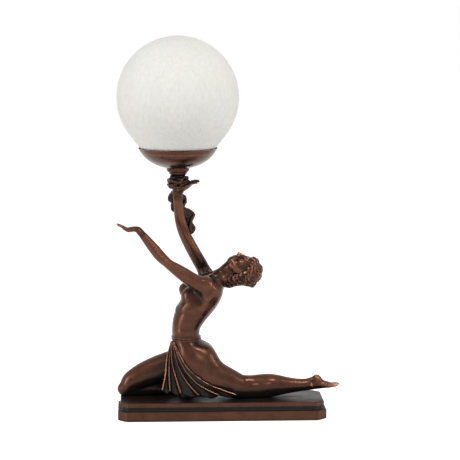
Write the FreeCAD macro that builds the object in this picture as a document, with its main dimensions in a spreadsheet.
"""A figural table lamp: a kneeling dancer in bronzed resin on a stepped plinth, who lifts a glass globe.

The lamp faces the reader along +Y, with +X to the right and +Z up. The origin is the middle of the
underside. Everything above the plinth is placed from the plinth's top face, and everything above the
dancer's palm is stacked on the lamp axis, a vertical line over the raised hand.
"""

import FreeCAD, Part
import math
import os

import Sketcher
from FreeCAD import Placement, Rotation, Vector

# Driving dimensions, in millimetres and degrees: name, value, what it is.
SIZES = [
    ("base_length", 258.0, "plinth, along X"),
    ("base_depth", 80.0, "plinth, along Y"),
    ("base_height", 23.0, "floor to the plinth's top face"),
    ("corner_cut", 10.6, "plinth corners, cut at 45 degrees"),
    ("block_top", 12.8, "floor to the top of the plinth's lower block"),
    ("slab_thickness", 4.8, "the plinth's upper slab"),
    ("slab_inset", 3.0, "upper slab inside the lower block, all round"),
    ("cove_inset", 5.2, "dark cove between slab and block, all round"),
    ("edge_round", 1.3, "rounding on the plinth's edges"),
    ("felt_thickness", 1.2, "felt pad"),
    ("felt_inset", 2.5, "felt pad inside the plinth's outline"),
    ("cover_thickness", 1.8, "hardboard cover over the wiring recess"),
    ("cover_lap", 7.0, "how far the cover laps past the recess"),
    ("cover_gap", 0.3, "play round the cover in its rebate"),
    ("recess_length", 200.0, "wiring recess, along X"),
    ("recess_depth", 42.0, "wiring recess, along Y"),
    ("recess_centre", -14.0, "wiring recess, centre along X"),
    ("deck_thickness", 6.5, "resin left over the wiring recess"),
    ("screw_radius", 1.5, "cover screws, shank"),
    ("screw_head", 2.8, "cover screws, head radius"),
    ("screw_sink", 1.0, "cover screws, head thickness, sunk in the cover"),
    ("screw_length", 9.0, "cover screws, under the head"),
    ("outlet_height", 7.0, "floor to the axis of the lead's outlet"),
    ("outlet_bore", 2.4, "lead's outlet, radius"),
    ("grommet_wall", 1.0, "grommet's sleeve"),
    ("grommet_flange", 1.0, "grommet's flange past its sleeve, and thickness"),
    ("bolt_radius", 2.5, "fixing bolts, M5"),
    ("bolt_reach", 8.5, "fixing bolts, above the plinth's top face"),
    ("bolt_head", 3.2, "fixing bolts, head height"),
    ("bolt_head_radius", 4.3, "fixing bolts, head radius"),
    ("washer_radius", 5.3, "fixing washers"),
    ("washer_thickness", 1.0, "fixing washers"),
    ("conduit_radius", 3.1, "cable tube, outside"),
    ("conduit_wall", 0.7, "cable tube"),
    ("cast_gap", 0.2, "play round metal pieces set in the castings"),
    ("seam", 0.12, "glue line between two castings"),
    ("lamp_axis", -53.4, "lamp axis, along X"),
    ("palm_height", 262.4, "plinth's top face to the raised palm"),
    ("bunch_height", 15.8, "gathered cloth on the palm"),
    ("bunch_radius", 14.2, "gathered cloth on the palm"),
    ("collar_height", 9.0, "turned collar under the bowl"),
    ("collar_foot", 8.7, "turned collar, bottom radius"),
    ("collar_waist", 11.0, "turned collar, radius over its foot"),
    ("collar_top", 14.3, "turned collar, top radius"),
    ("bowl_height", 25.1, "gallery bowl"),
    ("bowl_rim", 48.4, "gallery bowl, rim radius"),
    ("bowl_turn", 36.9, "gallery bowl, radius where its side turns up"),
    ("bowl_turn_height", 9.8, "gallery bowl, height of that turn"),
    ("bowl_flat", 13.0, "gallery bowl, radius of its flat bottom"),
    ("bowl_wall", 1.0, "gallery bowl"),
    ("bowl_belly_curve", 55.0, "gallery bowl, radius of curve under the turn"),
    ("bowl_side_curve", 40.0, "gallery bowl, radius of curve over the turn"),
    ("globe_radius", 75.0, "glass globe, outside"),
    ("glass_wall", 2.3, "glass globe"),
    ("globe_edge", 43.6, "glass globe, outer radius of its open edge"),
    ("globe_flank", 37.8, "glass globe, angle below its equator where it turns straight"),
    ("seat_depth", 4.2, "bowl's rim down to the glass's seat"),
    ("seal_thickness", 2.0, "seal ring under the glass"),
    ("seal_width", 3.9, "seal ring"),
    ("seal_play", 1.6, "seal ring and its ledge, past the glass's edge"),
    ("ledge_width", 1.3, "ledge in the bowl that holds the seal ring"),
    ("rest_gap", 0.2, "between the glass and its seal"),
    ("nipple_radius", 5.0, "threaded tube, M10"),
    ("nipple_wall", 1.2, "threaded tube"),
    ("insert_wall", 1.5, "brass insert in the cloth"),
    ("insert_length", 11.0, "brass insert in the cloth"),
    ("nut_height", 4.0, "M10 nut"),
    ("nut_corner", 8.0, "M10 nut, centre to corner"),
    ("star_thickness", 0.8, "star washer"),
    ("holder_radius", 13.0, "lampholder"),
    ("holder_height", 40.0, "lampholder"),
    ("holder_wall", 1.8, "lampholder"),
    ("holder_split", 15.0, "lampholder's bottom to its joint"),
    ("thread_radius", 7.3, "E14 screw shell, inside"),
    ("shell_wall", 0.5, "E14 screw shell"),
    ("cap_radius", 6.95, "bulb's E14 cap"),
    ("cap_length", 19.0, "bulb's E14 cap"),
    ("contact_drop", 4.0, "bulb's centre contact under its cap"),
    ("bulb_radius", 22.5, "bulb's ball"),
    ("bulb_skirt", 15.0, "bulb's housing, length"),
    ("bulb_length", 78.0, "bulb, tip to tip"),
    ("belt_height", 6.5, "dancer's belt"),
    ("belt_relief", 1.0, "dancer's belt, out of the hips"),
    ("pin_radius", 1.5, "steel pins in the castings"),
    ("cloth_thickness", 2.6, "pleated skirt"),
]


class Size:
    """A length that carries both its number and the formula that the sheet keeps it by."""

    def __init__(self, value, formula=None):
        self.value = float(value)
        self.formula = formula or repr(float(value))

    def _with(self, other, sign, work):
        other = as_size(other)
        return Size(work(self.value, other.value), f"({self.formula} {sign} {other.formula})")

    def __add__(self, other):
        return self._with(other, "+", lambda a, b: a + b)

    def __sub__(self, other):
        return self._with(other, "-", lambda a, b: a - b)

    def __mul__(self, other):
        return self._with(other, "*", lambda a, b: a * b)

    def __truediv__(self, other):
        return self._with(other, "/", lambda a, b: a / b)

    def __rsub__(self, other):
        return as_size(other) - self

    def __neg__(self):
        return as_size(0) - self

    __radd__ = __add__
    __rmul__ = __mul__


def as_size(number):
    return number if isinstance(number, Size) else Size(number)


def root(size):
    return Size(math.sqrt(size.value), f"sqrt({size.formula})")


def sine(size):
    return Size(math.sin(math.radians(size.value)), f"sin({size.formula})")


def cosine(size):
    return Size(math.cos(math.radians(size.value)), f"cos({size.formula})")


doc = FreeCAD.newDocument("figural_lamp")
sheet = doc.addObject("Spreadsheet::Sheet", "sizes")
for row, (alias, number, note) in enumerate(SIZES, start=1):
    sheet.set(f"A{row}", alias)
    sheet.set(f"B{row}", str(number))
    sheet.set(f"C{row}", note)
    sheet.setAlias(f"B{row}", alias)
doc.recompute()
S = {alias: Size(sheet.get(alias), f"sizes.{alias}") for alias, _, _ in SIZES}

# Levels on the lamp axis and in the plinth, each from the one below.
DECK = S["base_height"]
PALM = DECK + S["palm_height"]
BUNCH_TOP = PALM + S["bunch_height"]
COLLAR_TOP = BUNCH_TOP + S["collar_height"]
BOWL_FLOOR = COLLAR_TOP + S["bowl_wall"]
BOWL_RIM = COLLAR_TOP + S["bowl_height"]
SEAT = BOWL_RIM - S["seat_depth"]
NUT_BOTTOM = BOWL_FLOOR + S["star_thickness"]
HOLDER_BOTTOM = NUT_BOTTOM + S["nut_height"]
HOLDER_TOP = HOLDER_BOTTOM + S["holder_height"]
CAP_BOTTOM = HOLDER_TOP - S["cap_length"]
BULB_FOOT = CAP_BOTTOM - S["contact_drop"]
RECESS_TOP = DECK - S["deck_thickness"]
COVER_TOP = S["felt_thickness"] + S["cover_thickness"]

SUBPARTS = []


def keep(thing, label):
    """Names a sub-part, and lists it to be written out."""
    thing.Label = label
    SUBPARTS.append(thing)
    return thing


# ---------------------------------------------------------------- sketches and turned pieces


def plane_of(body, role):
    return next(f for f in body.Origin.OriginFeatures if f.Role == role)


def arc_between(start, end, radius):
    """The shorter arc from start to end. A positive radius bows it to the right of the way there."""
    middle = (start + end) * 0.5
    along = end - start
    side = Vector(-along.y, along.x, 0).normalize()
    reach = math.sqrt(max(radius * radius - along.Length**2 / 4, 0))
    centre = middle + side * math.copysign(reach, radius)
    circle = Part.Circle(centre, Vector(0, 0, 1), abs(radius))
    first, last = (start, end) if radius > 0 else (end, start)
    return Part.ArcOfCircle(circle, circle.parameter(first), circle.parameter(last))


def draw(body, role, outline, name="outline", level=None):
    """A closed sketch through the outline's points. A third entry gives the arc that leaves a point."""
    sketch = body.newObject("Sketcher::SketchObject", name)
    sketch.AttachmentSupport = [(plane_of(body, role), "")]
    sketch.MapMode = "FlatFace"
    if level is not None:
        sketch.setExpression("AttachmentOffset.Base.z", as_size(level).formula)
    corners = [Vector(as_size(p[0]).value, as_size(p[1]).value, 0) for p in outline]
    ends = []
    for i, point in enumerate(outline):
        start, end = corners[i], corners[(i + 1) % len(corners)]
        if len(point) == 3:
            radius = as_size(point[2]).value
            sketch.addGeometry(arc_between(start, end, radius), False)
            ends.append((1, 2) if radius > 0 else (2, 1))
        else:
            sketch.addGeometry(Part.LineSegment(start, end), False)
            ends.append((1, 2))
    for i, point in enumerate(outline):
        before = (i - 1) % len(outline)
        sketch.addConstraint(
            Sketcher.Constraint("Coincident", before, ends[before][1], i, ends[i][0])
        )
        for axis, line, number in (("X", -2, point[0]), ("Y", -1, point[1])):
            number = as_size(number)
            if number.formula == "0.0":
                sketch.addConstraint(Sketcher.Constraint("PointOnObject", i, ends[i][0], line))
                continue
            rule = Sketcher.Constraint(f"Distance{axis}", -1, 1, i, ends[i][0], number.value)
            bind_rule(sketch, rule, f"{axis}{i}", number)
        if len(point) == 3:
            bend = as_size(point[2] if as_size(point[2]).value > 0 else -point[2])
            rule = Sketcher.Constraint("Radius", i, bend.value)
            bind_rule(sketch, rule, f"bend{i}", bend)
    return sketch


def bind_rule(sketch, rule, name, number):
    index = sketch.addConstraint(rule)
    sketch.renameConstraint(index, name)
    sketch.setExpression(f"Constraints.{name}", number.formula)


def turned(label, outline, x=None, y=None, z=None):
    """A body turned about a vertical axis from half its section, given as (radius, height) points."""
    body = doc.addObject("PartDesign::Body", label)
    sketch = draw(body, "XZ_Plane", outline, label + "_section")
    turn = body.newObject("PartDesign::Revolution", label + "_turn")
    turn.Profile = sketch
    turn.ReferenceAxis = (sketch, ["V_Axis"])
    turn.Angle = 360
    stand(body, x, y, z)
    return keep(body, label)


def stand(thing, x=None, y=None, z=None):
    """Places a sub-part by sizes of the sheet."""
    for axis, size in (("x", x), ("y", y), ("z", z)):
        if size is not None:
            thing.setExpression(f"Placement.Base.{axis}", as_size(size).formula)
    return thing


def pad(body, sketch, length, name):
    """Pads a sketch upwards by a size."""
    feature = body.newObject("PartDesign::Pad", name)
    feature.Profile = sketch
    feature.setExpression("Length", as_size(length).formula)
    return feature


def cut_corners(length, depth, corner, x=0):
    """A rectangle round (x, 0) with its four corners cut at 45 degrees."""
    half_x, half_y = length / 2, depth / 2
    return [
        (x - half_x + corner, -half_y),
        (x + half_x - corner, -half_y),
        (x + half_x, corner - half_y),
        (x + half_x, half_y - corner),
        (x + half_x - corner, half_y),
        (x - half_x + corner, half_y),
        (x - half_x, half_y - corner),
        (x - half_x, corner - half_y),
    ]


def oblong(length, depth, x=0):
    half_x, half_y = length / 2, depth / 2
    return [
        (x - half_x, -half_y),
        (x + half_x, -half_y),
        (x + half_x, half_y),
        (x - half_x, half_y),
    ]


def rounds(body, base, size, name, wanted):
    """Rounds the edges of a feature that the test picks."""
    doc.recompute()
    edges = [f"Edge{i}" for i, e in enumerate(base.Shape.Edges, start=1) if wanted(e)]
    fillet = body.newObject("PartDesign::Fillet", name)
    fillet.Base = (base, edges)
    fillet.setExpression("Radius", size.formula)
    return fillet


def primitive(kind, name, x=None, y=None, z=None, **dimensions):
    """A Part primitive with its dimensions and place bound to the sheet."""
    thing = doc.addObject("Part::" + kind, name)
    for dimension, size in dimensions.items():
        thing.setExpression(dimension, as_size(size).formula)
    return stand(thing, x, y, z)


def less(label, base, tool):
    cut = doc.addObject("Part::Cut", label)
    cut.Base, cut.Tool = base, tool
    return keep(cut, label)


def together(name, pieces):
    """Several separate solids as one object."""
    group = doc.addObject("Part::Compound", name)
    group.Links = pieces
    return group


# ---------------------------------------------------------------- plinth


def outline_of(inset, grow=0):
    length = S["base_length"] - inset * 2
    depth = S["base_depth"] - inset * 2
    return cut_corners(length, depth, S["corner_cut"] - inset * 0.586)


def fixing_places():
    """Where the two fixing bolts come up into the dancer's legs, along X and Y."""
    return [(46.0, -6.0), (-98.0, 15.5)]


def cover_screw_places():
    half_x = S["recess_length"] / 2 + S["cover_lap"] / 2
    return [(S["recess_centre"] + half_x * side, 0) for side in (-1, 1)]


def make_plinth():
    """The cast plinth: lower block, cove, slab, wiring recess and its bores."""
    body = doc.addObject("PartDesign::Body", "plinth")
    block = draw(body, "XY_Plane", outline_of(Size(0)), "block", S["felt_thickness"])
    pad(body, block, S["block_top"] - S["felt_thickness"], "block_pad")
    cove = draw(body, "XY_Plane", outline_of(S["cove_inset"]), "cove", S["block_top"] - 1)
    pad(body, cove, DECK - S["slab_thickness"] - S["block_top"] + 2, "cove_pad")
    slab = draw(
        body, "XY_Plane", outline_of(S["slab_inset"]), "slab", DECK - S["slab_thickness"]
    )
    top = pad(body, slab, S["slab_thickness"], "slab_pad")

    def on_edge(edge):
        box = edge.BoundBox
        flat = box.ZLength < 1e-6
        outer = edge.CenterOfMass.Length > S["base_depth"].value / 2 - 6
        return flat and outer and min(abs(box.ZMax - h.value) for h in (DECK, S["block_top"])) < 1e-6

    top = rounds(body, top, S["edge_round"], "edge_rounds", on_edge)
    length, depth, x = S["recess_length"], S["recess_depth"], S["recess_centre"]
    recess = draw(body, "XY_Plane", oblong(length, depth, x), "recess", S["felt_thickness"])
    pocket(body, recess, RECESS_TOP - S["felt_thickness"], "recess_pocket")
    lap = S["cover_lap"] * 2 + S["cover_gap"] * 2
    rebate = draw(
        body, "XY_Plane", oblong(length + lap, depth + lap, x), "rebate", S["felt_thickness"]
    )
    pocket(body, rebate, S["cover_thickness"], "rebate_pocket")
    keep(body, "plinth")
    return body


def pocket(body, sketch, depth, name):
    """Cuts a sketch upwards, into the casting, by a size."""
    feature = body.newObject("PartDesign::Pocket", name)
    feature.Profile = sketch
    feature.Reversed = True
    feature.setExpression("Length", as_size(depth).formula)
    return feature


def circle_sketch(body, role, places, radius, name, level=None):
    """Circles of one radius at several places."""
    sketch = body.newObject("Sketcher::SketchObject", name)
    sketch.AttachmentSupport = [(plane_of(body, role), "")]
    sketch.MapMode = "FlatFace"
    if level is not None:
        sketch.setExpression("AttachmentOffset.Base.z", as_size(level).formula)
    for i, (x, y) in enumerate(places):
        x, y = as_size(x), as_size(y)
        circle = Part.Circle(Vector(x.value, y.value, 0), Vector(0, 0, 1), radius.value)
        sketch.addGeometry(circle, False)
        for axis, line, number in (("X", -2, x), ("Y", -1, y)):
            if number.formula == "0.0":
                sketch.addConstraint(Sketcher.Constraint("PointOnObject", i, 3, line))
                continue
            rule = Sketcher.Constraint(f"Distance{axis}", -1, 1, i, 3, number.value)
            bind_rule(sketch, rule, f"{axis}{i}", number)
        bind_rule(sketch, Sketcher.Constraint("Radius", i, radius.value), f"bore{i}", radius)
    return sketch


def bore_plinth(body):
    """Bores for the cable tube, the fixing bolts, the cover screws and the lead's outlet."""
    tube = S["conduit_radius"] + S["cast_gap"]
    foot = circle_sketch(body, "XY_Plane", [(CONDUIT_FOOT[0], 0)], tube, "tube_bore", RECESS_TOP - 1)
    pocket(body, foot, S["deck_thickness"] + 2, "tube_pocket")
    shank = S["bolt_radius"] + S["cast_gap"]
    bolts = circle_sketch(body, "XY_Plane", fixing_places(), shank, "bolt_bores", RECESS_TOP - 1)
    pocket(body, bolts, S["deck_thickness"] + 2, "bolt_pockets")
    thread = S["screw_radius"] + 0.05
    screws = circle_sketch(
        body, "XY_Plane", cover_screw_places(), thread, "screw_bores", COVER_TOP - 0.5
    )
    pocket(body, screws, S["screw_length"] - S["cover_thickness"] + 1, "screw_pockets")
    sleeve = S["outlet_bore"] + S["grommet_wall"] + 0.05
    outlet = circle_sketch(body, "XZ_Plane", [(OUTLET_X, S["outlet_height"])], sleeve, "outlet_bore")
    feature = body.newObject("PartDesign::Pocket", "outlet_pocket")
    feature.Profile = outlet
    feature.Reversed = False
    feature.Type = "ThroughAll"
    body.Tip = feature


OUTLET_X = -60.0
CONDUIT_FOOT = (-44.0, 0.0)


def make_underside():
    """Felt pad, hardboard cover and its screws."""
    body = doc.addObject("PartDesign::Body", "felt_pad")
    sheet_sketch = draw(body, "XY_Plane", outline_of(S["felt_inset"]), "felt_outline")
    pad(body, sheet_sketch, S["felt_thickness"], "felt_sheet")
    keep(body, "felt_pad")

    body = doc.addObject("PartDesign::Body", "wiring_cover")
    length = S["recess_length"] + S["cover_lap"] * 2
    depth = S["recess_depth"] + S["cover_lap"] * 2
    board = draw(body, "XY_Plane", oblong(length, depth, S["recess_centre"]), "board")
    pad(body, board, S["cover_thickness"], "board_pad")
    clear = S["screw_radius"] + S["cast_gap"]
    holes = circle_sketch(body, "XY_Plane", cover_screw_places(), clear, "screw_holes")
    pocket(body, holes, S["cover_thickness"] + 1, "screw_hole_pockets")
    wide = S["screw_head"] + S["cast_gap"]
    sinks = circle_sketch(body, "XY_Plane", cover_screw_places(), wide, "screw_sinks")
    pocket(body, sinks, S["screw_sink"] + 0.05, "screw_sink_pockets")
    stand(body, z=S["felt_thickness"])
    keep(body, "wiring_cover")


def make_grommet():
    """The sleeve that lines the outlet at the back of the plinth."""
    reach = S["base_depth"] / 2
    inner, outer = S["outlet_bore"], S["outlet_bore"] + S["grommet_wall"]
    flange = outer + S["grommet_flange"]
    wall = reach - S["recess_depth"] / 2
    body = doc.addObject("PartDesign::Body", "outlet_grommet")
    sketch = draw(
        body,
        "XZ_Plane",
        [
            (inner, -1),
            (outer, -1),
            (outer, wall),
            (flange, wall),
            (flange, wall + S["grommet_flange"]),
            (inner, wall + S["grommet_flange"]),
        ],
        "grommet_section",
    )
    turn = body.newObject("PartDesign::Revolution", "grommet_turn")
    turn.Profile = sketch
    turn.ReferenceAxis = (sketch, ["V_Axis"])
    turn.Angle = 360
    body.Placement = Placement(Vector(OUTLET_X, 0, 0), Rotation(Vector(1, 0, 0), -90))
    body.setExpression("Placement.Base.y", (S["recess_depth"] / 2).formula)
    body.setExpression("Placement.Base.z", S["outlet_height"].formula)
    keep(body, "outlet_grommet")


def make_fasteners():
    """Cover screws, fixing bolts with washers, and the nut on the cable tube."""
    screws, bolts, washers = [], [], []
    for i, (x, y) in enumerate(cover_screw_places()):
        head = primitive(
            "Cylinder", f"screw_head_{i}", x, y, S["felt_thickness"],
            Radius=S["screw_head"], Height=S["screw_sink"],
        )
        shank = primitive(
            "Cylinder", f"screw_shank_{i}", x, y, S["felt_thickness"],
            Radius=S["screw_radius"], Height=S["screw_length"],
        )
        screw = doc.addObject("Part::Fuse", f"screw_{i}")
        screw.Base, screw.Tool = head, shank
        screws.append(screw)
    under = RECESS_TOP - S["washer_thickness"]
    for i, (x, y) in enumerate(fixing_places()):
        head = primitive(
            "Cylinder", f"bolt_head_{i}", x, y, under - S["bolt_head"],
            Radius=S["bolt_head_radius"], Height=S["bolt_head"],
        )
        shank = primitive(
            "Cylinder", f"bolt_shank_{i}", x, y, under,
            Radius=S["bolt_radius"], Height=DECK + S["bolt_reach"] - under,
        )
        bolt = doc.addObject("Part::Fuse", f"bolt_{i}")
        bolt.Base, bolt.Tool = head, shank
        bolts.append(bolt)
        disc = primitive(
            "Cylinder", f"washer_disc_{i}", x, y, under,
            Radius=S["washer_radius"], Height=S["washer_thickness"],
        )
        eye = primitive(
            "Cylinder", f"washer_eye_{i}", x, y, under,
            Radius=S["bolt_radius"] + S["cast_gap"], Height=S["washer_thickness"],
        )
        washer = doc.addObject("Part::Cut", f"washer_{i}")
        washer.Base, washer.Tool = disc, eye
        washers.append(washer)
    keep(together("cover_screws", screws), "cover_screws")
    keep(together("fixing_bolts", bolts), "fixing_bolts")
    keep(together("fixing_washers", washers), "fixing_washers")
    bore = S["conduit_radius"] + 0.05
    turned(
        "conduit_nut",
        [
            (bore, -S["nut_height"]),
            (bore + 3, -S["nut_height"]),
            (bore + 4, 1 - S["nut_height"]),
            (bore + 4, 0),
            (bore, 0),
        ],
        CONDUIT_FOOT[0], CONDUIT_FOOT[1], RECESS_TOP,
    )


# ---------------------------------------------------------------- the dancer's castings
#
# A casting is lofted through rounded sections. Each is given by its front point and its back point,
# as x, z, x, z in the plane Y = y, then y and its half-width along Y. Heights are over the plinth,
# in the torso a share of the way from belt to shoulder, and over the shoulder for head and free arm.

BELT_TOP = 79.5
SHOULDER_HEIGHT = 150.0
SPIGOT_RADIUS = 9.0
SPIGOT_DEPTH = 8.0

HIPS = [
    (-61.3, BELT_TOP, -27.0, BELT_TOP, 0, 21.0),
    (-61.6, 72, -25.5, 72.5, 0, 22.5),
    (-60.5, 64, -13.5, 66.5, 0, 26.5),
    (-61.5, 53, -4.5, 51, 0, 29.5),
    (-58, 38, -0.5, 40, 0, 29.5),
    (-51, 26, -4, 30, 0, 26),
    (-42, 18, -13, 20, 0, 15),
]
BELT = [  # height over the belt's bottom, as a share of the belt, and relief as a share of its relief
    (0, 0), (0.14, 1), (0.36, 1), (0.5, 0.15), (0.64, 1), (0.86, 1), (1, 0),
]
NEAR_LEG = [
    (-10, 64, -50, 28, -12, 17),
    (0, 46.5, -28, 13, -13, 18),
    (13.8, 37.9, -6, 4.5, -12, 16),
    (24, 31.5, 12, 0.5, -10.5, 14),
    (30.5, 28.2, 26, -1, -9, 12),
    (39, 28.8, 37, -1.2, -7, 11.8),
    (53.3, 29.7, 51, -1.2, -5.5, 12.4),
    (67.8, 28.7, 66, 0.6, -4, 12),
    (82.3, 25.1, 81, 3.5, -2.5, 10),
    (101.5, 22, 100, 6.2, -1, 7.5),
    (111.5, 21.6, 110.5, 7.3, -0.5, 6.6),
    (120.5, 27, 119, 8, 0, 7.2),
    (128.5, 20.8, 127.5, 9, 0, 8),
    (135, 17.6, 135, 10.1, 0, 9.2),
    (143, 17.2, 143, 12, 0, 8.4),
    (150, 16.7, 150, 14.8, 0, 5.5),
]
FAR_THIGH = [
    (-44, 59, -28, 26, 10, 17),
    (-58, 58.5, -50, 22, 12, 17.5),
    (-73, 53.8, -66, 18, 13.5, 17),
    (-88, 47.8, -80, 13.5, 14, 16.3),
    (-102, 41, -94, 9, 14, 15),
    (-113.5, 33.5, -105, 4, 14, 13.4),
    (-122.3, 25.5, -113.5, 0.5, 14, 11.2),
    (-126.5, 15.5, -120.5, -0.5, 14, 7),
]
FAR_SHIN = [
    (-120, 19, -120, -0.5, 14, 8),
    (-111, 20.5, -111, -1, 15, 10.6),
    (-92, 19.5, -92, -1, 17, 11),
    (-70, 17, -70, -1, 19, 9.5),
    (-50, 13, -50, -0.5, 20, 6.6),
    (-38, 13, -38, -1, 20, 6.2),
    (-25, 9, -25, -1, 19, 7.6),
    (-12, 5, -12, -0.5, 18, 6),
]
TORSO = [
    (-61.3, 0, -27.0, 0, 0, 20.8),
    (-61.8, 0.121, -26.2, 0.099, 0, 21),
    (-60.4, 0.291, -20.5, 0.227, 0, 22.5),
    (-56.6, 0.47, -12.5, 0.369, 0, 25),
    (-50.5, 0.645, -5, 0.504, 0, 27),
    (-43, 0.816, -0.5, 0.638, 0, 28),
    (-32, 0.986, 2, 0.759, 0, 27.5),
    (-22, 1.078, 2.8, 0.824, 0, 21),
    (-10, 1.113, 3.2, 0.861, 0, 12),
]
NECK = [
    (-10, 8, 3.2, -9.8, 0, 11.2),
    (-4.2, 11.9, 7, -5.4, 0, 9.8),
    (4.9, 20.1, 14, 2, 0, 9.4),
    (12, 25, 24, 4, 0, 10.5),
]
HEAD = [
    (8.4, 27.2, 8.4, 20, 0, 4.2),
    (11.5, 28.6, 11.5, 13, 0, 8.6),
    (16.5, 29.2, 16.5, 4, 0, 11.6),
    (23, 29, 23, -4, 0, 13.2),
    (29, 28.2, 29, -9, 0, 14.2),
    (36, 28, 36, -10, 0, 14.6),
    (42, 24.5, 42, -7, 0, 13.2),
    (47, 18, 47, -1, 0, 9.2),
    (49, 12.5, 49, 5, 0, 4),
]
HAIR = [  # x, radius and the height of the middle over the shoulder, from the nape to the crown
    (16.2, 8, -1), (17, 11, 1.4), (19.5, 14.4, 3.6), (24, 16.6, 5.2), (30, 17.5, 6),
    (36.5, 17.2, 6.2), (42.5, 15, 6.4), (47.2, 10.8, 6.4), (49.6, 6, 6.4), (50.4, 2.4, 6.4),
]
NOSE = [
    (32, 29.4, 31, 24, 0, 1.6),
    (27, 31.9, 26.5, 24, 0, 1.9),
    (23.8, 33, 24, 24, 0, 2.6),
    (22.2, 30.4, 22.6, 24, 0, 2.3),
]
LIPS = [
    (20.6, 29.8, 20.4, 25, 0, 2.6),
    (19.4, 30.9, 19.4, 25, 0, 3.8),
    (18.6, 30.1, 18.6, 25, 0, 4.2),
    (17.8, 30.7, 17.8, 25, 0, 3.6),
    (16.8, 29.3, 16.9, 25, 0, 2.4),
]
FREE_ARM = [
    (-8, -3, -17, -22, -22, 8),
    (-19, 2.5, -30.5, -13.5, -27.5, 9),
    (-31, 9.3, -43.5, -4.8, -30, 8.2),
    (-43.5, 17.2, -55.5, 4.9, -32, 7.5),
    (-53.5, 22.9, -64, 12.5, -33, 6.9),
    (-61.5, 27.2, -71.8, 19.9, -34, 6.4),
    (-69.6, 35.3, -80.8, 27.3, -33, 6.6),
    (-77, 43.9, -88.2, 36.5, -32, 6.2),
    (-84.7, 52.1, -94, 44.7, -31, 5.6),
    (-92.4, 60, -99.5, 53, -30, 5),
    (-101.5, 68, -104.9, 61.7, -29, 4.8),
    (-109.5, 68.6, -110.8, 61.6, -28.5, 6.2),
    (-116.6, 67.6, -115.2, 62, -28, 8),
    (-120, 68, -117.6, 63.6, -28, 7.6),
]
FREE_FINGERS = [  # x, z and y of the tip, from the index finger to the little finger
    (-127.4, 69.6, -22.4), (-129, 71, -26), (-128.4, 71.4, -29.8), (-126, 70.6, -33.2),
]
FREE_KNUCKLES = (-118.4, 66, -28)
FREE_THUMB = [(-109.5, 65, -23.4), (-115, 63.4, -20.6), (-120.4, 64.6, -19.6)]

# The lamp arm follows the palm: each section is level, at a share of the way from shoulder to palm.
# Its entries are that share, the left and right edges less the same share of lamp_axis, y, half-width.
LAMP_ARM = [
    (-0.13, -28, -7, 25.5, 9),
    (0, -27, -8.9, 27, 9),
    (0.15, -27.8, -8.8, 23.5, 8.2),
    (0.29, -28.3, -10.3, 19.2, 7.7),
    (0.4, -28.2, -11.1, 15.4, 7.3),
    (0.5, -27.2, -11.5, 12.2, 7),
    (0.605, -24.6, -9.9, 9, 6.9),
    (0.73, -19.6, -6.6, 6, 6.5),
    (0.863, -13.2, -1.7, 3, 5.6),
    (0.955, -8.6, 2.2, 2, 5.4),
]
# The lamp hand is placed from the palm, under the lamp axis.
LAMP_HAND = [
    (-7, -9.5, 3.6, -9.5, 2.2, 5.0),
    (-6, -5.2, 4.8, -5, 2, 5.4),
    (-6.2, -1.8, 9.5, -3.4, 0.8, 7),
    (-4.5, 0.6, 13.8, 0.4, -0.4, 8.4),
    (2.5, 4.5, 16.6, 2.8, -1, 9),
    (8.5, 7.2, 18.4, 4.4, -1, 8.6),
]
LAMP_KNUCKLES = (14.6, 6.8, -1)
LAMP_FINGERS = [(24, 7.6, -8.4), (26.2, 8.6, -3.4), (26, 9, 1.4), (23.4, 8.6, 5.8)]
LAMP_THUMB = [(0, -0.5, -6.5), (7.5, 2.2, -10.6), (14, 5.6, -12.4)]
SCARF = [  # share of the way from shoulder to palm, edges less that share of lamp_axis, y, half-width
    (0.994, -6.8, 7.4, 7, 4.6),
    (0.945, -11.6, 4, 8.6, 5),
    (0.89, -17, 3.4, 9.6, 5),
    (0.845, -19.2, 1.8, 10.4, 4.6),
    (0.79, -20.6, -1.6, 11, 4.4),
    (0.735, -19.4, 1, 12, 4.6),
    (0.69, -9.8, 3.8, 13.6, 4.2),
    (0.61, -8.6, -2, 15, 3.2),
    (0.53, -12, -4, 16.2, 3.4),
    (0.48, -13.8, -10.8, 16.6, 1.6),
]
# The cable tube's bends: x, y and the share of the way from belt to shoulder.
CONDUIT_BENDS = [(CONDUIT_FOOT[0], 0, 0.092), (-36, 7, 0.461), (-20.5, 23, 0.887)]
CONDUIT_SHARES = [0.15, 0.4, 0.605, 0.863]  # and its bends in the lamp arm, from shoulder to palm


def ring(row, grow=0.0, count=12):
    """The poles of a rounded section, grown outwards where asked."""
    x_front, z_front, x_back, z_back, y, width = row
    front, back = Vector(x_front, y, z_front), Vector(x_back, y, z_back)
    centre, half = (front + back) * 0.5, (front - back) * 0.5
    half += Vector(half).normalize() * grow
    out = 6 / (4 + 2 * math.cos(2 * math.pi / count))  # so that the curve itself runs on the ellipse
    poles = []
    for i in range(count):
        turn = 2 * math.pi * i / count
        side = Vector(0, (width + grow) * math.sin(turn), 0)
        poles.append(centre + (half * math.cos(turn) + side) * out)
    return poles


def skinned(rings):
    """A solid with a smooth skin over closed rings of poles, and a flat face at each end."""
    around, along = len(rings[0]), len(rings)
    poles = [[ring_poles[i] for ring_poles in rings] for i in range(around)]
    skin = Part.BSplineSurface()
    skin.buildFromPolesMultsKnots(
        poles,
        [1] * (around + 1), [4] + [1] * (along - 4) + [4],
        list(range(around + 1)), list(range(along - 2)),
        True, False, 3, 3,
    )
    side = skin.toShape()
    ends = [Part.Face(Part.Wire(edge)) for edge in side.Edges if edge.isClosed()]
    shell = Part.makeShell([side] + ends)
    shell.sewShape()
    solid = Part.makeSolid(shell)
    return solid if solid.Volume > 0 else solid.reversed()


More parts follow.
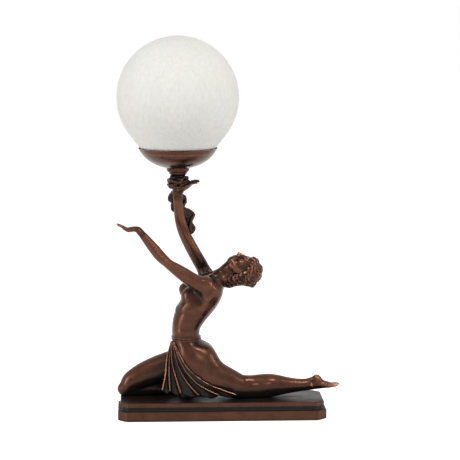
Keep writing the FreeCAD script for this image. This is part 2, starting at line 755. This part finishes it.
def eased(rows):
    """The sections with one more halfway between each two, so that a loft can't swing wide."""
    gaps = []
    for row, after in zip(rows, rows[1:]):
        gaps.append(math.sqrt(sum((b - a) ** 2 for a, b in zip(row, after))) or 1.0)
    slopes = []
    for i, row in enumerate(rows):
        low, high = max(i - 1, 0), min(i, len(gaps) - 1)
        before = [(b - a) / gaps[low] for a, b in zip(rows[low], rows[low + 1])]
        after = [(b - a) / gaps[high] for a, b in zip(rows[high], rows[high + 1])]
        share = gaps[high] / (gaps[low] + gaps[high])
        slopes.append([a * share + b * (1 - share) for a, b in zip(before, after)])
    made = [rows[0]]
    for i, gap in enumerate(gaps):
        pairs = zip(rows[i], rows[i + 1], slopes[i], slopes[i + 1])
        made.append(tuple((a + b) / 2 + gap * (c - d) / 8 for a, b, c, d in pairs))
        made.append(rows[i + 1])
    return made


def cast(rows, grow=0.0):
    """A solid skinned over rounded sections."""
    return skinned([ring(row, grow) for row in eased(rows)])


def limb(points, radii):
    """A slim tapering piece through points, with a round tip: a finger, a thumb or a curl."""
    solid = None
    for (start, end), (thick, thin) in zip(zip(points, points[1:]), zip(radii, radii[1:])):
        start, end = Vector(start), Vector(end)
        length = (end - start).Length
        piece = Part.makeCone(thick, thin, length, start, end - start).fuse(
            Part.makeSphere(thin, end)
        )
        solid = piece if solid is None else solid.fuse(piece)
    return solid


def fingers(knuckles, tips, base):
    """Four fingers from a row of knuckles to their tips, slightly bent."""
    made = []
    for i, tip in enumerate(tips):
        x, z, y = knuckles
        start = Vector(x, y + (i - 1.5) * base * 1.9 * (1 if tips[-1][2] > tips[0][2] else -1), z)
        end = Vector(tip[0], tip[2], tip[1])
        middle = (start + end) * 0.5 + Vector(0, 0, base * 0.25)
        made.append(limb([start, middle, end], [base, base * 0.88, base * 0.6]))
    return made


def thumb(points, base):
    spots = [Vector(x, y, z) for x, z, y in points]
    return limb(spots, [base * 1.2, base, base * 0.66])


def fused(pieces):
    solid = pieces[0]
    for piece in pieces[1:]:
        solid = solid.fuse(piece)
    return solid


def torso_height(share):
    """A height between the belt, at 0, and the shoulder, at 1."""
    return BELT_TOP + (SHOULDER_HEIGHT - BELT_TOP) * share


def torso_row(x_front, front, x_back, back, y, width):
    return (x_front, torso_height(front), x_back, torso_height(back), y, width)


def shoulder_row(x_front, z_front, x_back, z_back, y, width):
    return (x_front, z_front + SHOULDER_HEIGHT, x_back, z_back + SHOULDER_HEIGHT, y, width)


def shoulder_cast(rows):
    return cast([shoulder_row(*row) for row in rows])


def shoulder_point(x, z, y):
    return (x, z + SHOULDER_HEIGHT, y)


def by_shoulder(x, y, z):
    return Vector(x, y, z + SHOULDER_HEIGHT)


def level_row(share, left, right, y, width):
    """A level section of the lamp arm or scarf, in the figure's own frame."""
    rise = S["palm_height"].value - SHOULDER_HEIGHT
    shift = S["lamp_axis"].value * share
    height = SHOULDER_HEIGHT + rise * share
    return (left + shift, height, right + shift, height, y, width)


def palm_row(x_front, z_front, x_back, z_back, y, width):
    axis, palm = S["lamp_axis"].value, S["palm_height"].value
    return (x_front + axis, z_front + palm, x_back + axis, z_back + palm, y, width)


def palm_point(x, z, y):
    return (x + S["lamp_axis"].value, z + S["palm_height"].value, y)


def belt_rows(grow):
    """Two raised cords round the waist, on the hips' topmost section."""
    x_front, _, x_back, _, y, width = HIPS[0]
    rows = []
    for share, relief in BELT:
        height = BELT_TOP - S["belt_height"].value * (1 - share)
        out = S["belt_relief"].value * relief + grow
        rows.append((x_front - out, height, x_back + out, height, y, width + 0.9 + out))
    return rows


def conduit_route():
    """The cable tube's bends, from inside the plinth to the nipple over the palm."""
    below = -S["deck_thickness"].value - S["nut_height"].value - 1
    points = [Vector(CONDUIT_FOOT[0], 0, below)]
    points += [Vector(x, y, torso_height(share)) for x, y, share in CONDUIT_BENDS]
    middles = {row[0]: level_row(*row) for row in LAMP_ARM}
    for share in CONDUIT_SHARES:
        left, height, right, _, y, _ = middles[share]
        points.append(Vector((left + right) / 2, y, height))
    top = Vector(S["lamp_axis"].value, 0, S["palm_height"].value)
    return points + [top, top + Vector(0, 0, 5)]


def bar_along(points, radius):
    """A round bar through points, with a ball at each bend."""
    pieces = []
    for start, end in zip(points, points[1:]):
        along = end - start
        pieces.append(Part.makeCylinder(radius, along.Length, start, along))
    pieces += [Part.makeSphere(radius, bend) for bend in points[1:-1]]
    return pieces[0].fuse(pieces[1:])


def figure(label, shape):
    """A casting of the dancer, standing on the plinth's top face."""
    feature = doc.addObject("Part::Feature", label)
    feature.Shape = shape
    feature.setExpression("Placement.Base.z", DECK.formula)
    return keep(feature, label)


def round_bore(x, y, radius, bottom, top):
    return Part.makeCylinder(radius, top - bottom, Vector(x, y, bottom))


def between(values, place):
    """The value at a place along a list, from its two neighbours."""
    low = min(int(place), len(values) - 2)
    return values[low] + (values[low + 1] - values[low]) * (place - low)


def pleats():
    """The skirt's fan of pleats, which opens from a knot at the belt down to a scalloped hem."""
    knot, swing = Vector(-60.5, -15, 70), Vector(-47, -27, 26)
    ridge_ends = [-76, -66, -53, -32, -8, 14]
    folds, steps, levels = len(ridge_ends) - 1, 4, 6
    front = []
    for row in range(levels):
        fall = row / (levels - 1)
        line = []
        for i in range(folds * steps + 1):
            fan = i / (folds * steps)
            dip = (1 - math.cos(2 * math.pi * i / steps)) / 2
            top = knot + Vector(6.5 * fan, -3 * fan, -9 * fan)
            bend = swing + Vector(34 * (fan - 0.62), 0, -4 * fan)
            end = Vector(between(ridge_ends, i / steps), -25 + 3 * abs(fan - 0.5), 9 - 5 * fan)
            point = top * (1 - fall) ** 2 + bend * 2 * fall * (1 - fall) + end * fall**2
            lift = point.z - 0.6
            point += Vector(0, (1 + 4.6 * fall) * dip, -min(lift, 7 * fall**3) * dip)
            line.append(point)
        front.append(line)
    shift = Vector(0, S["cloth_thickness"].value, 0)
    sheets = []
    for grid in (front, [[p + shift for p in line] for line in front]):
        surface = Part.BSplineSurface()
        surface.interpolate(grid)
        sheets.append(surface.toShape())
    sides = [
        Part.makeRuledSurface(near, far) for near, far in zip(sheets[0].Edges, sheets[1].Edges)
    ]
    shell = Part.makeShell(sheets + sides)
    shell.sewShape()
    solid = Part.makeSolid(shell)
    return solid if solid.Volume > 0 else solid.reversed()


def waved_hair():
    """Short hair laid in waves: a lobed cap whose lobes turn as they run back over the crown."""
    lobes, count, depth, twist = 9, 36, 0.045, 0.35
    rings = []
    for x, radius, centre in HAIR:
        poles = []
        for i in range(count):
            turn = 2 * math.pi * i / count
            out = radius * (1 + depth * math.cos(lobes * turn + twist * lobes * len(rings) / 3))
            poles.append(by_shoulder(x, out * math.sin(turn), centre + out * 1.04 * math.cos(turn)))
        rings.append(poles)
    return skinned(rings)


def make_dancer():
    """Hips and legs, skirt, torso, head, both arms, scarf, the cable tube and the joining pins."""
    seam, gap = S["seam"].value, S["cast_gap"].value
    route = conduit_route()
    bore = bar_along(route, S["conduit_radius"].value + gap)
    outer = bar_along(route, S["conduit_radius"].value)
    inner = bar_along(route, S["conduit_radius"].value - S["conduit_wall"].value)
    figure("conduit_tube", outer.cut(inner))

    above = Part.makeBox(400, 200, 400, Vector(-200, -100, 0))
    spigot_x = (HIPS[0][0] + HIPS[0][2]) / 2
    spigot_foot = BELT_TOP - SPIGOT_DEPTH
    holes = [round_bore(*CONDUIT_FOOT, S["conduit_radius"].value + gap, -1, BELT_TOP + 1)]
    holes.append(round_bore(spigot_x, 0, SPIGOT_RADIUS + gap, spigot_foot - gap, BELT_TOP + 1))
    for x, y in fixing_places():
        screw = S["bolt_radius"].value + 0.05
        holes.append(round_bore(x, y, screw, -1, S["bolt_reach"].value + 1))
    lower = [cast(rows) for rows in (HIPS, NEAR_LEG, FAR_THIGH, FAR_SHIN)] + [cast(belt_rows(0))]
    hips = fused(lower).common(above)
    for hole in holes:
        hips = hips.cut(hole)
    figure("hips_and_legs", hips)

    skirt = pleats().common(above)
    for rows in (HIPS, NEAR_LEG, FAR_THIGH, FAR_SHIN, belt_rows(0)):
        skirt = skirt.cut(cast(rows, seam))
    skirt = skirt.cut(hips)
    figure("skirt", max(skirt.Solids, key=lambda s: s.Volume))

    free_fingers = [shoulder_point(*tip) for tip in FREE_FINGERS]
    free_parts = [shoulder_cast(FREE_ARM)] + fingers(shoulder_point(*FREE_KNUCKLES), free_fingers, 2.0)
    free_arm = fused(free_parts + [thumb([shoulder_point(*p) for p in FREE_THUMB], 1.8)])
    arm_rows = [level_row(*row) for row in LAMP_ARM]
    hand_rows = [palm_row(*row) for row in LAMP_HAND]
    lamp_parts = [cast(arm_rows), cast(hand_rows)]
    lamp_parts += fingers(palm_point(*LAMP_KNUCKLES), [palm_point(*p) for p in LAMP_FINGERS], 2.1)
    lamp_parts.append(thumb([palm_point(*p) for p in LAMP_THUMB], 1.9))
    lamp_arm = fused(lamp_parts)

    chest = torso_height(0.702)
    spigot = round_bore(spigot_x, 0, SPIGOT_RADIUS, spigot_foot, BELT_TOP + 5)
    breasts = [Part.makeSphere(10, Vector(-42.5, y, chest)) for y in (-12.5, 12.5)]
    torso = fused([cast([torso_row(*row) for row in TORSO])] + breasts + [spigot])
    free_root = [shoulder_row(*row) for row in FREE_ARM[:4]]
    torso = torso.cut(bore).cut(cast(free_root, seam)).cut(cast(arm_rows[:5], seam))

    pins = [
        (by_shoulder(-8.5, 0, -5), by_shoulder(3, 0, 9)),
        (by_shoulder(-19, -14, -9), by_shoulder(-24, -29, -3)),
        (by_shoulder(-8, 15, -2), by_shoulder(-16, 30, -7)),
    ]
    pin_bars, pin_bores = [], []
    for start, end in pins:
        length, along = (end - start).Length, end - start
        pin_bars.append(Part.makeCylinder(S["pin_radius"].value, length, start, along))
        clear = S["pin_radius"].value + 0.05
        pin_bores.append(Part.makeCylinder(clear, length, start, along))
    figure("torso", torso.cut(pin_bores))
    figure("joining_pins", Part.makeCompound(pin_bars))
    figure("free_arm", free_arm.cut(pin_bores))

    curls = [Part.makeSphere(6.6, by_shoulder(20.5, y, -4.5)) for y in (-6.5, 6.5)]
    for side in (-1, 1):
        curls.append(Part.makeSphere(5.2, by_shoulder(27, side * 13.2, 3)))
    face = Part.makeBox(36, 26, 20, by_shoulder(8, -13, 22))
    head = fused([shoulder_cast(HEAD), shoulder_cast(NECK), waved_hair().cut(face)] + curls)
    chin = Part.makeSphere(3.6, by_shoulder(12.4, 0, 26.2))
    head = fused([head, shoulder_cast(NOSE), shoulder_cast(LIPS), chin])
    figure("head", head.cut(pin_bores))

    top = S["palm_height"].value + S["bunch_height"].value
    brass = S["nipple_radius"].value + S["insert_wall"].value + gap
    socket = round_bore(
        S["lamp_axis"].value, 0, brass, top - S["insert_length"].value - gap, top + 1
    )
    figure("lamp_arm", lamp_arm.cut(bore).cut(pin_bores).cut(socket))

    scarf = cast([level_row(*row) for row in SCARF])
    scarf = scarf.cut(cast(arm_rows, seam)).cut(cast(hand_rows, seam)).cut(bore)
    figure("scarf", max(scarf.Solids, key=lambda s: s.Volume))
    return cast(hand_rows, seam), cast(arm_rows, seam), thumb([palm_point(*p) for p in LAMP_THUMB], 2.0)


# ---------------------------------------------------------------- on the lamp axis


def cloth_ring(height, radius, depth, count=9):
    """The poles of a lobed level section of gathered cloth."""
    poles = []
    for i in range(4 * count):
        turn = 2 * math.pi * i / (4 * count)
        out = radius * (1 + depth * 1.3 * math.cos(count * turn))
        poles.append(Vector(out * math.cos(turn), out * math.sin(turn), height))
    return poles


def make_bunch(hand):
    """The gathered cloth between palm and collar, with the brass insert that takes the nipple."""
    height, radius = S["bunch_height"].value, S["bunch_radius"].value
    foot = S["collar_foot"].value
    sections = [
        (0, radius * 0.5, 0.04), (height * 0.2, radius * 0.8, 0.08), (height * 0.48, radius, 0.09),
        (height * 0.76, radius * 0.9, 0.07), (height, foot, 0.02),
    ]
    cloth = skinned([cloth_ring(*section) for section in eased(sections)])
    at = Vector(S["lamp_axis"].value, 0, S["palm_height"].value)
    cloth.translate(at)
    brass = S["nipple_radius"].value + S["insert_wall"].value
    bottom = at.z + height - S["insert_length"].value
    cloth = cloth.cut(round_bore(at.x, 0, brass, bottom, at.z + height + 1))
    clear = S["conduit_radius"].value + S["cast_gap"].value
    cloth = cloth.cut(round_bore(at.x, 0, clear, at.z - 1, bottom + 1))
    for piece in hand:
        cloth = cloth.cut(piece)
    figure("cloth_bunch", max(cloth.Solids, key=lambda s: s.Volume))
    hole = S["nipple_radius"]
    turned(
        "brass_insert",
        [
            (hole, -S["insert_length"]),
            (hole + S["insert_wall"], -S["insert_length"]),
            (hole + S["insert_wall"], 0),
            (hole, 0),
        ],
        S["lamp_axis"], 0, BUNCH_TOP,
    )


def make_gallery():
    """Nipple, turned collar, spun bowl, star washer, nut and seal ring."""
    axis = S["lamp_axis"]
    tube, hole = S["nipple_radius"], S["nipple_radius"] + S["cast_gap"]
    foot = BUNCH_TOP - S["insert_length"]
    top = HOLDER_BOTTOM + S["holder_wall"] + 1.5
    turned(
        "nipple",
        [
            (tube - S["nipple_wall"], 0),
            (tube, 0),
            (tube, top - foot),
            (tube - S["nipple_wall"], top - foot),
        ],
        axis, 0, foot,
    )
    height = S["collar_height"]
    turned(
        "gallery_collar",
        [
            (hole, 0),
            (S["collar_foot"], 0),
            (S["collar_waist"], height * 0.25),
            (S["collar_waist"] + 0.8, height * 0.45, 3.4),
            (S["collar_top"] - 0.4, height * 0.8),
            (S["collar_top"], height),
            (hole, height),
        ],
        axis, 0, BUNCH_TOP,
    )
    wall, rim, rise = S["bowl_wall"], S["bowl_rim"], S["bowl_height"]
    turn, turn_height = S["bowl_turn"], S["bowl_turn_height"]
    ledge = S["globe_edge"] + S["seal_play"]
    shelf = rise - S["seat_depth"] - S["seal_thickness"]
    turned(
        "gallery_bowl",
        [
            (hole, 0),
            (S["bowl_flat"], 0, S["bowl_belly_curve"]),
            (turn, turn_height, S["bowl_side_curve"]),
            (rim, rise - wall),
            (rim + wall * 0.6, rise - wall * 0.5),
            (rim, rise),
            (rim - wall, rise),
            (ledge, shelf + S["seal_thickness"]),
            (ledge, shelf),
            (ledge - S["ledge_width"], shelf, -S["bowl_side_curve"]),
            (turn - wall * 0.7, turn_height + wall * 0.7, -S["bowl_belly_curve"]),
            (S["bowl_flat"], wall),
            (hole, wall),
        ],
        axis, 0, COLLAR_TOP,
    )
    turned(
        "seal_ring",
        [
            (ledge - S["seal_width"], 0),
            (ledge, 0),
            (ledge, S["seal_thickness"]),
            (ledge - S["seal_width"], S["seal_thickness"]),
        ],
        axis, 0, SEAT - S["seal_thickness"],
    )
    disc = primitive(
        "Cylinder", "star_disc", axis, 0, BOWL_FLOOR,
        Radius=S["nut_corner"] + 1.5, Height=S["star_thickness"],
    )
    eye = primitive(
        "Cylinder", "star_eye", axis, 0, BOWL_FLOOR, Radius=hole, Height=S["star_thickness"]
    )
    less("star_washer", disc, eye)
    hexagon = primitive(
        "Prism", "nut_hexagon", axis, 0, NUT_BOTTOM,
        Circumradius=S["nut_corner"], Height=S["nut_height"],
    )
    hexagon.Polygon = 6
    bore = primitive(
        "Cylinder", "nut_bore", axis, 0, NUT_BOTTOM, Radius=tube + 0.05, Height=S["nut_height"]
    )
    less("gallery_nut", hexagon, bore)


def make_lampholder():
    """The E14 lampholder: base, sleeve, contact block, screw shell, centre contact and screws."""
    axis, wall = S["lamp_axis"], S["holder_wall"]
    outer, height, split = S["holder_radius"], S["holder_height"], S["holder_split"]
    hole = S["nipple_radius"] + 0.05
    lip = 1.2
    turned(
        "holder_base",
        [
            (hole, 0),
            (outer - 4, 0),
            (outer, 4),
            (outer, split),
            (outer - wall, split),
            (outer - wall, wall + 3),
            (outer - wall - 3, wall),
            (hole, wall),
        ],
        axis, 0, HOLDER_BOTTOM,
    )
    shell = S["thread_radius"] + S["shell_wall"]
    turned(
        "holder_sleeve",
        [
            (outer - wall, split),
            (outer, split),
            (outer, split + 3),
            (outer - 1, split + 4),
            (outer - 1, height - 2),
            (outer - 2, height),
            (shell + 0.4, height),
            (shell + 0.4, height - lip),
            (outer - wall - 1, height - lip - 1),
            (outer - wall - 1, split + 4),
            (outer - wall, split + 3),
        ],
        axis, 0, HOLDER_BOTTOM,
    )
    block_top = BULB_FOOT - HOLDER_BOTTOM - 1.6
    turned(
        "contact_block",
        [
            (0, wall + 5),
            (outer - wall - 0.2, wall + 5),
            (outer - wall - 0.2, split),
            (shell, split),
            (shell, block_top),
            (0, block_top),
        ],
        axis, 0, HOLDER_BOTTOM,
    )
    turned(
        "screw_shell",
        [
            (S["thread_radius"], 0),
            (shell, 0),
            (shell, HOLDER_TOP - lip - 0.5 - BULB_FOOT + 1.6),
            (S["thread_radius"], HOLDER_TOP - lip - 0.5 - BULB_FOOT + 1.6),
        ],
        axis, 0, BULB_FOOT - 1.6,
    )
    turned(
        "centre_contact",
        [(0, 0), (3, 0), (3, 0.5), (1.6, 1.55), (0, 1.55)],
        axis, 0, BULB_FOOT - 1.6,
    )
    terminals = [
        primitive(
            "Cylinder", f"terminal_{i}", axis + 6.5 * side, 0, HOLDER_BOTTOM + wall + 2.4,
            Radius=1.8, Height=2.6,
        )
        for i, side in enumerate((-1, 1))
    ]
    keep(together("terminal_screws", terminals), "terminal_screws")


def make_bulb():
    """An E14 golf-ball bulb: brass cap, housing and opal dome."""
    axis = S["lamp_axis"]
    cap, drop = S["cap_radius"], S["contact_drop"]
    turned(
        "bulb_cap",
        [
            (0, 0),
            (2.3, 0),
            (2.6, drop * 0.4),
            (cap - 0.6, drop),
            (cap, drop + 1),
            (cap, drop + S["cap_length"]),
            (0, drop + S["cap_length"]),
        ],
        axis, 0, BULB_FOOT,
    )
    ball, skirt = S["bulb_radius"], S["bulb_skirt"]
    foot = drop + S["cap_length"]
    centre = S["bulb_length"] - ball
    neck = root(ball * ball - (centre - foot - skirt) * (centre - foot - skirt))
    turned(
        "bulb_housing",
        [
            (0, foot),
            (cap + 1.2, foot),
            (cap + 2.2, foot + 2),
            (neck, foot + skirt),
            (0, foot + skirt),
        ],
        axis, 0, BULB_FOOT,
    )
    turned(
        "bulb_dome",
        [(0, foot + skirt), (neck, foot + skirt, ball), (0, S["bulb_length"])],
        axis, 0, BULB_FOOT,
    )


def make_globe():
    """The glass globe: a sphere that runs straight down, as a cone, to its open edge."""
    radius, wall, edge, flank = S["globe_radius"], S["glass_wall"], S["globe_edge"], S["globe_flank"]
    slope, level = sine(flank), cosine(flank)
    run = (radius * level - edge) / slope
    centre = radius * slope + run * level
    inside = radius - wall
    turned(
        "globe_shade",
        [
            (edge - wall / level, 0),
            (edge, 0),
            (radius * level, centre - radius * slope, radius),
            (0, centre + radius),
            (0, centre + inside, -inside),
            (inside * level, centre - inside * slope),
        ],
        S["lamp_axis"], 0, SEAT + S["rest_gap"],
    )


make_underside()
plinth = make_plinth()
bore_plinth(plinth)
make_grommet()
make_fasteners()
hand = make_dancer()
make_bunch(hand)
make_gallery()
make_lampholder()
make_bulb()
make_globe()
doc.recompute()

for thing in doc.Objects:
    assert not {"Invalid", "Error"} & set(thing.State), f"{thing.Label}: {thing.State}"
os.makedirs("parts", exist_ok=True)
for part in SUBPARTS:
    assert not part.Shape.isNull() and part.Shape.isValid(), part.Label
    part.Shape.exportStep(f"parts/{part.Label}.step")
    solids = len(part.Shape.Solids)
    print(f"{part.Label}: {solids} solid(s), {part.Shape.Volume / 1000:.2f} cm3")
